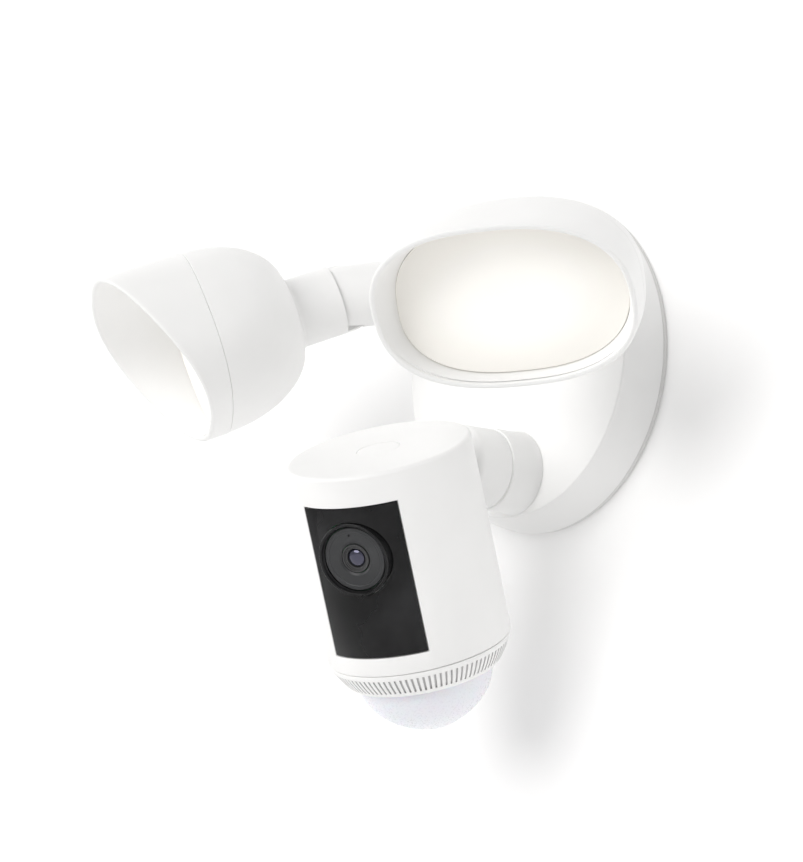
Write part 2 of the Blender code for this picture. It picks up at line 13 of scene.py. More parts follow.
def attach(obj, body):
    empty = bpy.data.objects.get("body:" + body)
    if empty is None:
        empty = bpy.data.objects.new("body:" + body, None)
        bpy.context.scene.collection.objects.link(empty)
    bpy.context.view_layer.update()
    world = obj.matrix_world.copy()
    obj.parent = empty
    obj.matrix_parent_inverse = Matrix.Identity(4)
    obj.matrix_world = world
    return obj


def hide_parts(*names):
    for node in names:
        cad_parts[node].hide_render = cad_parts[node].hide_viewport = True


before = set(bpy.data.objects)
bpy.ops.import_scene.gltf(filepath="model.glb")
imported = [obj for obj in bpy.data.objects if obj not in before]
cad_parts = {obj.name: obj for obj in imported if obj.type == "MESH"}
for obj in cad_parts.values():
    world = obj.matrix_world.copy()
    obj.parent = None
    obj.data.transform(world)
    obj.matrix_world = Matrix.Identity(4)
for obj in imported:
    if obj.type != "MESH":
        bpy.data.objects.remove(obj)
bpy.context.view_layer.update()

MM = 0.001
GAP = 0.3

# ---- measures shared with the CAD model ---------------------------------------------
BASE_R_WALL, BASE_R_FACE, BASE_DEPTH, BASE_WALL = 60.0, 55.5, 17.0, 2.4
GASKET_T, COVER_T = 2.0, 2.0
CABLE_HOLE = (20.0, 9.0)
LAMP_ROOT = (27.0, 32.0)
KNUCKLE = (52.2, -53.2, 25.8)
STUB_PAN, STUB_DIP = 35.2, 9.0
NECK_R, KNUCKLE_R, SWIVEL_R = 12.6, 12.6, 11.4
RIM_HALF_W, RIM_HALF_H, RIM_POWER = 43.4, 32.4, 2.5
RIM_DIST, RIM_WEDGE, SEAM_DIST, LAMP_WALL = 73.3, 22.2, 53.4, 2.2
RIM_RISE = RIM_HALF_H * math.cos(math.radians(RIM_WEDGE))    # half height seen end on
STUB_END = 23.0               # from the knuckle's centre back to the end of the stub
PIN_HOLE_R, PIN_HOLE_HALF = 2.4, 8.9
BELL_START, BELL_POWER = 20.0, 2.3    # where the lamp starts to widen, and how fast
SEAM_SHARE = 0.99             # width at the seam as a share of the width at the rim
LAMP_REST = {"right": (1, 3.5, 17.1), "left": (-1, -9.8, 12.0)}    # side, swivel, tilt
ARM_Z, ARM_R, BOSS_END, ARM_END = -40.0, 14.6, 30.4, 43.0
BALL, BALL_R = (0.0, -62.5, -46.0), 12.0
ARM_NECK_R, TONGUE_HALF, TONGUE_R = 5.0, 3.5, 7.0
PIVOT_TWIST, PIVOT_TILT, HEAD_TURN = 10.3, 24.7, 23.5
BALL_BACK, BALL_DOWN = 23.4, 17.6
HEAD_R, HEAD_WALL, HEAD_SEAM = 32.0, 2.2, -70.5
PLATE_TOP, PLATE_BOTTOM, PLATE_HALF_ANGLE, PLATE_T = -10.8, -63.8, 33.4, 1.2
LENS_Z, LENS_RING_R = -28.6, 12.8
GRILLE_BOTTOM, GRILLE_R_BOTTOM, GRILLE_CORE_R = -80.0, 26.6, 22.9
DOME_RIM_R, DOME_TIP, DOME_WALL, DOME_POWER = 23.6, -101.2, 1.5, 1.3
BUTTON_R = 7.2

# ---- resolution and fine detail -----------------------------------------------------
SEG_BASE, SEG_LAMP, SEG_ROUND, SEG_LENS, SEG_HEAD = 240, 160, 112, 144, 256
SEG_HOLE, SEG_STUB, SEG_WALL = 96, 96, 64
SEAM_LINE = 0.15              # half of the fine line where two shells meet
DIFFUSER_INSET = 4.35         # from the hood's outline to the diffuser's edge
GRILLE_SLOTS = 98

# ---- camera that takes the photograph's view ----------------------------------------
CAM_AZIMUTH, CAM_ELEVATION, CAM_ROLL = 49.1, -9.6, 0.6
CAM_DISTANCE, CAM_LENS = 1391.3, 162.65
CAM_AIM = (-53.05, -22.52)    # the aim point, along the picture's right and up

# ---- studio -------------------------------------------------------------------------
SKY_STRENGTH = 0.42
WALL_Y, WALL_HOLE_R, WALL_REACH = 0.5, 56.0, 2600.0
FLOOR_Z, FLOOR_REACH = -1100.0, 4000.0


# ---- mesh helpers -------------------------------------------------------------------
def at(x=0.0, y=0.0, z=0.0):
    return Matrix.Translation((x, y, z))


def turn(axis, degrees):
    return Matrix.Rotation(math.radians(degrees), 4, axis)


OUTWARD = turn("X", 90)


def solid(name, bm, place=None):
    """An object from a bmesh built in millimetres, placed by a frame in millimetres."""
    bmesh.ops.recalc_face_normals(bm, faces=bm.faces)
    mesh = bpy.data.meshes.new(name)
    for vert in bm.verts:
        vert.co *= MM
    bm.to_mesh(mesh)
    bm.free()
    made = bpy.data.objects.new(name, mesh)
    bpy.context.scene.collection.objects.link(made)
    placed = (place or Matrix.Identity(4)).copy()
    placed.translation = placed.translation * MM
    made.matrix_world = placed
    return made


def bake(target):
    """Replace an object's mesh by what its modifiers make of it."""
    bpy.context.view_layer.update()
    graph = bpy.context.evaluated_depsgraph_get()
    mesh = bpy.data.meshes.new_from_object(target.evaluated_get(graph))
    old = target.data
    target.modifiers.clear()
    target.data = mesh
    bpy.data.meshes.remove(old)


def combine(target, bm, place, operation="DIFFERENCE"):
    """Cut or join a tool built in millimetres, then throw the tool away."""
    tool = solid("tool", bm, place)
    step = target.modifiers.new("step", "BOOLEAN")
    step.operation = operation
    step.solver = "EXACT"
    step.object = tool
    bake(target)
    bpy.data.objects.remove(tool, do_unlink=True)


def bevel(target, width, limit):
    step = target.modifiers.new("round", "BEVEL")
    step.width = width * MM
    step.segments = 2
    step.limit_method = "ANGLE"
    step.angle_limit = math.radians(limit)
    bake(target)


def finish(piece, look, body, *nodes, sharp=30.0):
    """Give a piece its shading, material and body, and hide the CAD nodes it stands in for."""
    if look is not DIFFUSER:
        piece.data.transform(piece.matrix_world)
        piece.matrix_world = Matrix.Identity(4)
    piece.data.shade_smooth()
    piece.data.set_sharp_from_angle(angle=math.radians(sharp))
    if not piece.data.materials:
        piece.data.materials.append(look)
    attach(piece, body)
    if nodes:
        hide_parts(*nodes)


def stitch(sections, closed=False):
    """Join sections of equal length into a skin, capped at both ends or closed on itself."""
    bm = bmesh.new()
    rings = [[bm.verts.new(point) for point in section] for section in sections]
    count = len(rings[0])
    pairs = list(zip(rings, rings[1:]))
    if closed:
        pairs.append((rings[-1], rings[0]))
    for one, two in pairs:
        for i in range(count):
            j = (i + 1) % count
            bm.faces.new((one[i], one[j], two[j], two[i]))
    if not closed:
        bm.faces.new(rings[0])
        bm.faces.new(rings[-1])
    return bm


def ring(radius, z, segments):
    step = 2 * math.pi / segments
    return [(radius * math.cos(i * step), radius * math.sin(i * step), z) for i in range(segments)]


def turned(profile, segments=SEG_ROUND, closed=False):
    """A profile of (radius, height) points turned about Z."""
    return stitch([ring(r, z, segments) for r, z in profile], closed)


def rod(radius, z0, z1, segments=64):
    return turned([(radius, z0), (radius, z1)], segments)


def block(size, centre=(0, 0, 0)):
    bm = bmesh.new()
    bmesh.ops.create_cube(bm, size=1.0)
    for vert in bm.verts:
        vert.co = Vector(centre) + Vector([c * s for c, s in zip(vert.co, size)])
    return bm


def ball(radius):
    bm = bmesh.new()
    bmesh.ops.create_uvsphere(bm, u_segments=96, v_segments=48, radius=radius)
    return bm


def arc(centre_r, centre_z, radius, start, end, steps=6):
    """Profile points along part of a circle, from one angle to another in degrees."""
    points = []
    for i in range(steps + 1):
        a = math.radians(start + (end - start) * i / steps)
        points.append((centre_r + radius * math.cos(a), centre_z + radius * math.sin(a)))
    return points


def ball_zone(side, radius, offset=-GAP / 2):
    """The part of a ball that lies beyond a plane square to X, on the named side."""
    bm = ball(radius)
    cut = bmesh.ops.bisect_plane(bm, geom=bm.verts[:] + bm.edges[:] + bm.faces[:],
                                 plane_co=(side * offset, 0, 0), plane_no=(-side, 0, 0),
                                 clear_outer=True)
    edges = [e for e in cut["geom_cut"] if isinstance(e, bmesh.types.BMEdge)]
    bmesh.ops.holes_fill(bm, edges=edges, sides=0)
    return bm


# ---- materials ----------------------------------------------------------------------
def surface(name, color, rough, grain=0.0, grain_scale=2200.0, mottle=0.012, mottle_scale=40.0,
            stretch=(1.0, 1.0, 1.0), **sockets):
    """A moulded or metal surface: faint colour mottling, varied roughness and fine bump."""
    made = bpy.data.materials.new(name)
    made["slot"] = name
    made.use_nodes = True
    nodes, links = made.node_tree.nodes, made.node_tree.links
    shader = nodes["Principled BSDF"]
    for socket, value in sockets.items():
        shader.inputs[socket.replace("_", " ")].default_value = value
    coords = nodes.new("ShaderNodeTexCoord")
    mapping = nodes.new("ShaderNodeMapping")
    mapping.inputs["Scale"].default_value = stretch
    links.new(coords.outputs["Object"], mapping.inputs["Vector"])

    soft = nodes.new("ShaderNodeTexNoise")
    soft.inputs["Scale"].default_value = mottle_scale
    soft.inputs["Detail"].default_value = 3.0
    links.new(mapping.outputs["Vector"], soft.inputs["Vector"])
    ramp = nodes.new("ShaderNodeValToRGB")
    low = [max(c * (1 - mottle) - mottle * 0.1, 0.0) for c in color]
    high = [min(c * (1 + mottle) + mottle * 0.1, 1.0) for c in color]
    ramp.color_ramp.elements[0].position = 0.3
    ramp.color_ramp.elements[0].color = (*low, 1)
    ramp.color_ramp.elements[1].position = 0.7
    ramp.color_ramp.elements[1].color = (*high, 1)
    links.new(soft.outputs["Fac"], ramp.inputs["Fac"])
    links.new(ramp.outputs["Color"], shader.inputs["Base Color"])

    fine = nodes.new("ShaderNodeTexNoise")
    fine.inputs["Scale"].default_value = grain_scale
    fine.inputs["Detail"].default_value = 2.0
    links.new(mapping.outputs["Vector"], fine.inputs["Vector"])
    spread = nodes.new("ShaderNodeMapRange")
    spread.inputs["From Min"].default_value = 0.3
    spread.inputs["From Max"].default_value = 0.7
    spread.inputs["To Min"].default_value = rough[0]
    spread.inputs["To Max"].default_value = rough[1]
    links.new(fine.outputs["Fac"], spread.inputs["Value"])
    links.new(spread.outputs["Result"], shader.inputs["Roughness"])
    if grain:
        bump = nodes.new("ShaderNodeBump")
        bump.inputs["Strength"].default_value = grain
        bump.inputs["Distance"].default_value = 0.00003
        links.new(fine.outputs["Fac"], bump.inputs["Height"])
        links.new(bump.outputs["Normal"], shader.inputs["Normal"])
    return made


def glowing(name):
    """Frosted diffuser: brightest over the lamp's board, falling off to its rim."""
    made = surface(name, (0.84, 0.825, 0.79), (0.34, 0.46), 0.25, 1400.0, Emission_Strength=0.30)
    nodes, links = made.node_tree.nodes, made.node_tree.links
    shader = nodes["Principled BSDF"]
    coords = nodes["Texture Coordinate"]
    squash = nodes.new("ShaderNodeMapping")
    squash.inputs["Scale"].default_value = (1000 / 40.0, 0.0, 1000 / 27.0)
    links.new(coords.outputs["Object"], squash.inputs["Vector"])
    reach = nodes.new("ShaderNodeVectorMath")
    reach.operation = "LENGTH"
    links.new(squash.outputs["Vector"], reach.inputs[0])
    ramp = nodes.new("ShaderNodeValToRGB")
    ramp.color_ramp.interpolation = "EASE"
    first, last = ramp.color_ramp.elements
    first.position, first.color = 0.25, (1.0, 0.985, 0.95, 1)
    last.position, last.color = 1.0, (0.40, 0.38, 0.34, 1)
    links.new(reach.outputs["Value"], ramp.inputs["Fac"])
    links.new(ramp.outputs["Color"], shader.inputs["Emission Color"])
    return made


WHITE = surface("white_plastic", (0.86, 0.86, 0.855), (0.36, 0.50), 0.35)
WARM = surface("reflector_white", (0.90, 0.87, 0.80), (0.42, 0.58), 0.2)
DIFFUSER = glowing("diffuser")
BLACK = surface("gloss_black", (0.007, 0.007, 0.008), (0.09, 0.17), 0.05, 900.0, 0.1,
                Specular_IOR_Level=0.24)
GREY = surface("lens_grey", (0.036, 0.037, 0.039), (0.28, 0.42), 0.3, 1800.0, 0.08,
               Specular_IOR_Level=0.3)
GLASS = surface("lens_glass", (0.012, 0.013, 0.022), (0.01, 0.04), 0.0, 600.0, 0.1,
                Specular_Tint=(0.62, 0.60, 1.0, 1.0), Specular_IOR_Level=1.0,
                Coat_Weight=1.0, Coat_Roughness=0.02)
DOME = surface("motion_dome", (0.80, 0.81, 0.86), (0.24, 0.36), 0.15, 1600.0, 0.01,
               Subsurface_Weight=0.35, Subsurface_Scale=0.002)
RUBBER = surface("rubber", (0.72, 0.72, 0.71), (0.6, 0.8), 0.5, 1200.0, 0.03)
STEEL = surface("steel", (0.56, 0.56, 0.57), (0.24, 0.42), 0.3, 900.0, 0.05,
                stretch=(1.0, 1.0, 0.06), Metallic=1.0)
ALUMINIUM = surface("aluminium", (0.70, 0.70, 0.72), (0.30, 0.45), 0.3, 900.0, 0.04,
                    stretch=(0.06, 1.0, 1.0), Metallic=1.0)
BOARD = surface("circuit_board", (0.03, 0.22, 0.09), (0.35, 0.60), 0.4, 500.0, 0.5, 220.0)
DARK = surface("dark_plastic", (0.035, 0.035, 0.036), (0.45, 0.65), 0.4, 1500.0, 0.1)
SLOT = surface("slot_shadow", (0.62, 0.62, 0.62), (0.6, 0.8), 0.2, 1500.0, 0.05)
LOOKS = {look["slot"]: look for look in (WHITE, WARM, DIFFUSER, BLACK, GREY, GLASS, DOME, RUBBER,
                                      STEEL, ALUMINIUM, BOARD, DARK)}


# ---- base ---------------------------------------------------------------------------
def base_radius(depth):
    share = depth / BASE_DEPTH
    bow = 0.9 * math.sin(math.pi * share)
    return BASE_R_WALL + (BASE_R_FACE - BASE_R_WALL) * share + bow


def cut_wire_hole(target):
    radius = CABLE_HOLE[1]
    combine(target, rod(radius, -2.0, 8.0, SEG_HOLE), at(0, 0, CABLE_HOLE[0]) @ OUTWARD)


def build_base_cover():
    back, edge, steps = GASKET_T + GAP, 0.7, 30
    depths = [back + (BASE_DEPTH - edge - back) * i / steps for i in range(steps + 1)]
    side = [(base_radius(depth), depth) for depth in depths]
    corner_r = base_radius(BASE_DEPTH - edge) - edge
    crease = arc(corner_r, BASE_DEPTH - edge, edge, 10, 90, 6)
    inner = [(base_radius(GASKET_T) - BASE_WALL - 1.5, back),
             (BASE_R_FACE - BASE_WALL - 1.0, BASE_DEPTH - BASE_WALL)]
    profile = [(corner_r * 0.5, BASE_DEPTH)] + crease[::-1] + side[::-1] + inner
    shell = solid("base_cover", turned(profile, SEG_BASE), OUTWARD)
    for x, z in ((LAMP_ROOT[0], LAMP_ROOT[1]), (-LAMP_ROOT[0], LAMP_ROOT[1]), (0, ARM_Z)):
        combine(shell, rod(4.5, -10, 10), at(x, -BASE_DEPTH + 1.0, z) @ OUTWARD)
    finish(shell, WHITE, "base", "base_shell", sharp=20)


def build_base_back():
    """Ribbed wall seal, rear cover and slotted bracket, from the outside in."""
    seal_out, seal_width, rib_pitch = base_radius(0) - 0.6, 5.5, 1.2
    lips = [(seal_out, 0.3), (seal_out - 0.3, 0.0)]
    for i in range(4):
        rib = seal_out - 0.9 - i * rib_pitch
        lips += [(rib, 0.0), (rib - 0.3, 0.35), (rib - 0.6, 0.0)]
    lips += [(seal_out - seal_width, 0.0), (seal_out - seal_width, GASKET_T),
             (seal_out - 0.3, GASKET_T), (seal_out, GASKET_T - 0.3)]
    finish(solid("wall_seal", turned(lips, SEG_BASE, closed=True), OUTWARD), RUBBER, "base",
           "wall_gasket")

    cover_r, cover_z = seal_out - seal_width - 0.5, GASKET_T + 0.6
    cover_profile = [(cover_r, cover_z + COVER_T), (cover_r, cover_z + 0.3),
                     (cover_r - 0.3, cover_z), (47.2, cover_z), (46.8, cover_z + 0.5),
                     (45.9, cover_z + 0.5), (45.5, cover_z)]
    cover = solid("back_cover", turned(cover_profile, SEG_BASE), OUTWARD)
    cut_wire_hole(cover)
    finish(cover, DARK, "base", "rear_cover")

    edge_r, slot_r, thickness = 44.0, 35.0, 1.6
    plate = [(30.0, 0.0), (edge_r - 0.4, 0.0), (edge_r, 0.4), (edge_r, thickness - 0.2),
             (edge_r - 0.2, thickness), (30.0, thickness)]
    bracket = solid("mounting_bracket", turned(plate, 192), OUTWARD)
    cut_wire_hole(bracket)
    for angle in (0, 90, 180, 270):
        combine(bracket, block((5.0, 6.0, 18.0), (slot_r, -1.0, 0.0)), turn("Y", angle))
    for angle in (45, 135, 225, 315):
        for radius in (34.0, 24.0):
            combine(bracket, rod(2.2, -2.0, 6.0, 32), turn("Y", angle) @ at(radius) @ OUTWARD)
    finish(bracket, STEEL, "base", "wall_bracket")


# ---- lamps --------------------------------------------------------------------------
def lamp_frames(side, swivel, tilt):
    """Frames of the stub, the swivelled knuckle and the tilted lamp, all at one centre."""
    centre = at(side * KNUCKLE[0], KNUCKLE[1], KNUCKLE[2])
    stub = centre @ turn("Z", side * STUB_PAN) @ turn("X", STUB_DIP)
    knuckle = stub @ turn("Y", -side * swivel)
    return stub, knuckle, knuckle @ turn("X", tilt)


def outline(half_w, half_h, power=RIM_POWER, segments=SEG_LAMP):
    """A superellipse: an ellipse at power 2, squarer above it."""
    points = []
    for i in range(segments):
        angle = 2 * math.pi * i / segments
        c, s = math.cos(angle), math.sin(angle)
        points.append((half_w * math.copysign(abs(c) ** (2 / power), c),
                       half_h * math.copysign(abs(s) ** (2 / power), s)))
    return points


def bell_size(dist, inset=0.0):
    """Half width, half height and power of the lamp's body at a distance from its pivot."""
    share = min(max((dist - BELL_START) / (SEAM_DIST - BELL_START), 0.0), 1.0)
    swell = (1 - (1 - share) ** BELL_POWER) ** 0.5
    half_w = NECK_R + (RIM_HALF_W * SEAM_SHARE - NECK_R) * swell
    half_h = NECK_R + (RIM_RISE * 0.995 - NECK_R) * swell
    return half_w - inset, half_h - inset, 2 + (RIM_POWER - 2) * share


def body_section(dist, inset=0.0):
    half_w, half_h, power = bell_size(dist, inset)
    return [(x, -dist, z) for x, z in outline(half_w, half_h, power)]


def rim_section(back, inset, depth_share):
    """A section of the hood, from square at the seam (0) to leaning at the rim (1)."""
    lean = math.tan(math.radians(RIM_WEDGE))
    half_w = RIM_HALF_W * (SEAM_SHARE + (1 - SEAM_SHARE) * depth_share) - inset
    points = []
    for x, z in outline(half_w, RIM_RISE - inset):
        rim_y = RIM_DIST + z * lean
        y = SEAM_DIST + GAP + (rim_y - SEAM_DIST - GAP) * depth_share - back
        points.append((x, -y, z))
    return points


def flat_section(dist, inset, power=RIM_POWER):
    half_w = RIM_HALF_W * SEAM_SHARE - inset
    return [(x, -dist, z) for x, z in outline(half_w, RIM_RISE - inset, power)]


def stub_sections(side, stub_frame):
    """Round sections along the curve from the base face to the swivel joint."""
    root = Vector((side * LAMP_ROOT[0], -BASE_DEPTH - GAP, LAMP_ROOT[1]))
    joint = stub_frame @ Vector((0, STUB_END, 0))
    axis = (stub_frame.to_3x3() @ Vector((0, -1, 0))).normalized()
    out = Vector((0, -1, 0))
    reach = (joint - root).length
    a, b = root + out * reach * 0.35, joint - axis * reach * 0.35
    sections, steps = [], 28
    for i in range(steps + 1):
        s = i / steps
        centre = ((1 - s) ** 3 * root + 3 * (1 - s) ** 2 * s * a + 3 * (1 - s) * s * s * b
                  + s ** 3 * joint)
        heading = out.lerp(axis, s).normalized()
        across = heading.cross(Vector((0, 0, 1))).normalized()
        upward = across.cross(heading)
        radius = SWIVEL_R + 0.9 * (1 - s) ** 2
        if i == steps:
            radius -= 0.25
        sections.append([centre + across * x + upward * y for x, y, _ in
                         ring(radius, 0.0, SEG_STUB)])
    return sections


def housing_sections():
    """Round knuckle end, straight neck, bell, then the inner wall seen past the seam."""
    sections = []
    for angle in range(86, 0, -8):
        r, y = NECK_R * math.cos(math.radians(angle)), NECK_R * math.sin(math.radians(angle))
        sections.append([(x, y, z) for x, z in outline(r, r, 2.0)])
    for dist, extra in ((0.0, 0.0), (9.0, 0.0), (17.6, 0.0), (18.4, 0.1), (19.1, 0.35),
                        (19.6, 0.8), (19.9, 1.4)):
        r = NECK_R + extra
        sections.append([(x, -dist, z) for x, z in outline(r, r, 2.0)])
    steps = 30
    for i in range(1, steps + 1):
        share = (i / steps) ** 1.6
        dist = BELL_START + (SEAM_DIST - SEAM_LINE - BELL_START) * share
        if bell_size(dist)[0] > NECK_R + 1.9:
            sections.append(body_section(dist))
    sections.append(body_section(SEAM_DIST, SEAM_LINE))
    for dist in (SEAM_DIST, 47.0, 40.0, 35.0, 31.0):
        sections.append(body_section(dist, LAMP_WALL))
    return sections


def bezel_sections():
    """The hood's outside, its rounded lip, then its inside back to the diffuser."""
    outer = [rim_section(0.12, SEAM_LINE, 0.0), rim_section(-0.03, 0.0, 0.0)]
    outer += [rim_section(0, 0.0, s / 8) for s in range(1, 8)]
    lip = 0.95                # radius of the rounded rim
    for step in range(9):
        a = math.radians(180 * step / 8)
        outer.append(rim_section(lip - lip * math.sin(a), lip - lip * math.cos(a), 1.0))
    inner = [rim_section(lip + 1.2, 2 * lip + 0.12, 1.0)]
    for share, inset in ((0.8, 2.35), (0.65, 3.0), (0.5, 3.55), (0.35, 3.9), (0.2, 4.1),
                         (0.0, 4.2)):
        inner.append(rim_section(0, inset, share))
    return outer + inner


def build_lamp(name, side, swivel, tilt):
    stub_frame, knuckle_frame, lamp_frame = lamp_frames(side, swivel, tilt)
    pin = lamp_frame @ turn("Y", 90)
    finish(solid(f"lamp_root_{name}", stitch(stub_sections(side, stub_frame))),
           WHITE, "base", f"stub_{name}")

    back, edge = GAP - STUB_END, 0.25
    profile = [(SWIVEL_R - edge, back), (SWIVEL_R, back + edge), (SWIVEL_R, -8.0)]
    profile += arc(0.0, 0.0, SWIVEL_R, 0, 84, 14)
    joint = solid(f"swivel_joint_{name}", turned(profile), knuckle_frame @ OUTWARD)
    combine(joint, ball_zone(side, KNUCKLE_R + GAP), knuckle_frame)
    combine(joint, rod(PIN_HOLE_R, -PIN_HOLE_HALF, PIN_HOLE_HALF), pin)
    finish(joint, WHITE, f"swivel_{name}", f"swivel_{name}")

    body = solid(f"lamp_body_{name}", stitch(housing_sections()), lamp_frame)
    combine(body, ball_zone(-side, KNUCKLE_R + GAP), lamp_frame)
    combine(body, rod(PIN_HOLE_R, -PIN_HOLE_HALF, PIN_HOLE_HALF), pin)
    finish(body, WHITE, f"lamp_{name}", f"housing_{name}")

    hood = solid(f"lamp_hood_{name}", stitch(bezel_sections(), closed=True), lamp_frame)
    finish(hood, WHITE, f"lamp_{name}", f"bezel_{name}")

    lens = [flat_section(SEAM_DIST + 2.0, DIFFUSER_INSET),
            flat_section(SEAM_DIST + 3.1, DIFFUSER_INSET),
            flat_section(SEAM_DIST + 3.4, DIFFUSER_INSET + 0.2)]
    for i in range(1, 13):
        share = i / 12
        crown = SEAM_DIST + 3.5 + 1.45 * math.sin(math.pi / 2 * share)
        lens.append(flat_section(crown, 4.8 + 20.0 * share, RIM_POWER - 0.2 * share))
    pane = solid(f"lamp_diffuser_{name}", stitch(lens), lamp_frame)
    finish(pane, DIFFUSER, f"lamp_{name}", f"diffuser_{name}")


# ---- camera arm and pivot -----------------------------------------------------------
def pivot_frame():
    return at(*BALL) @ turn("Y", PIVOT_TWIST) @ turn("X", PIVOT_TILT)


def head_frame():
    return pivot_frame() @ turn("Z", HEAD_TURN) @ at(0, -BALL_BACK, BALL_DOWN)


def build_arm_socket():
    axis = at(0, 0, ARM_Z) @ OUTWARD
    boss = [(ARM_R + 0.4, BASE_DEPTH + GAP), (ARM_R + 0.3, BASE_DEPTH + 0.6),
            (ARM_R + 0.1, BASE_DEPTH + 1.2), (ARM_R, BASE_DEPTH + 3.0)]
    boss += [(ARM_R, BASE_DEPTH + 8.0)] + arc(ARM_R - 0.4, BOSS_END - 0.4, 0.4, 0, 90, 5)
    core = [(5.0, BOSS_END), (5.0, BASE_DEPTH + GAP)]
    finish(solid("arm_socket", turned(boss + core, 144, closed=True), axis), WHITE, "base",
           "arm_boss")


def arm_sections():
    """Straight barrel, rounded shoulder and slim neck that drops to the ball's centre."""
    barrel = ARM_R - 0.4
    path = [(BOSS_END + GAP, ARM_Z, barrel - 0.5), (BOSS_END + GAP + 0.15, ARM_Z, barrel - 0.15),
            (BOSS_END + 0.9, ARM_Z, barrel), (BOSS_END + 6.0, ARM_Z, barrel),
            (ARM_END, ARM_Z, barrel)]
    for ahead, drop, radius in ((0.8, 0.05, barrel - 0.15), (1.5, 0.12, barrel - 0.5),
                                (2.1, 0.22, barrel - 1.1), (2.8, 0.35, barrel - 2.1),
                                (3.6, 0.5, ARM_R - 4.0), (4.3, 0.85, ARM_R - 6.3),
                                (5.0, 1.2, ARM_NECK_R + 1.2), (5.9, 1.6, ARM_NECK_R + 0.4),
                                (7.0, 2.0, ARM_NECK_R)):
        path.append((ARM_END + ahead, ARM_Z - drop, radius))
    path.append((-BALL[1], BALL[2], ARM_NECK_R))
    return [[(x, -depth, height + z) for x, z in outline(radius, radius, 2.0, SEG_ROUND)]
            for depth, height, radius in path]


def build_camera_arm():
    arm = solid("camera_arm_shell", stitch(arm_sections()))
    tilt_pin = pivot_frame() @ turn("Y", 90)
    combine(arm, rod(TONGUE_R, -TONGUE_HALF, TONGUE_HALF), tilt_pin, "UNION")
    for side in (1, -1):
        combine(arm, ball_zone(side, BALL_R + GAP, TONGUE_HALF), pivot_frame())
    combine(arm, rod(2.3, -9, 9), tilt_pin)
    finish(arm, WHITE, "arm", "camera_arm")

    knob = solid("pivot_knob", ball(BALL_R), pivot_frame())
    combine(knob, rod(2.4, -14.4, 14.4), pivot_frame(), "UNION")
    slot_size = (2 * (TONGUE_HALF + 0.4), 24.0, 20.4)
    combine(knob, block(slot_size, (0, 12.0 - TONGUE_R - 0.5, 0)), pivot_frame())
    combine(knob, rod(2.3, -20, 20), tilt_pin)
    finish(knob, DARK, "pivot", "pivot_ball")


# ---- camera head --------------------------------------------------------------------
def arc_plate(radius_in, radius_out, half_angle, z0, z1, steps):
    """A curved plate centred on the front of the tube."""
    sections = []
    for i in range(steps + 1):
        a = math.radians(-half_angle + 2 * half_angle * i / steps)
        s, c = math.sin(a), -math.cos(a)
        sections.append([(radius_in * s, radius_in * c, z0), (radius_out * s, radius_out * c, z0),
                         (radius_out * s, radius_out * c, z1), (radius_in * s, radius_in * c, z1)])
    return stitch(sections)


def build_head_shell(place, lens_axis):
    inside, fillet = HEAD_R - HEAD_WALL, 1.5
    profile = [(14.0, 0.0)] + arc(HEAD_R - fillet, -fillet, fillet, 90, 0, 10)
    profile += [(HEAD_R, -20.0), (HEAD_R, -45.0), (HEAD_R, HEAD_SEAM + 0.35),
                (HEAD_R - 0.12, HEAD_SEAM + 0.08), (HEAD_R - 0.35, HEAD_SEAM),
                (inside, HEAD_SEAM), (inside, -HEAD_WALL)]
    shell = solid("head_shell", turned(profile, SEG_HEAD), place)
    recess = arc_plate(HEAD_R - PLATE_T - GAP, HEAD_R + 2, PLATE_HALF_ANGLE + 0.5,
                       PLATE_BOTTOM - GAP, PLATE_TOP + GAP, 112)
    combine(shell, recess, place)
    back_axis = place @ at(0, 0, -BALL_DOWN) @ turn("X", -90)
    combine(shell, rod(LENS_RING_R + GAP, 20, 40, SEG_HOLE), lens_axis)
    combine(shell, rod(BALL_R + 0.6, 18, 40, SEG_HOLE), back_axis)
    combine(shell, rod(BUTTON_R + GAP, -5, 5, SEG_HOLE), place)
    finish(shell, WHITE, "head", "head_housing", sharp=25)

    plate = solid("front_plate", arc_plate(HEAD_R - PLATE_T, HEAD_R, PLATE_HALF_ANGLE,
                                           PLATE_BOTTOM, PLATE_TOP, 96), place)
    bevel(plate, 0.22, 60)
    combine(plate, rod(LENS_RING_R + GAP, 20, 40, 128), lens_axis)
    finish(plate, BLACK, "head", "faceplate", sharp=25)


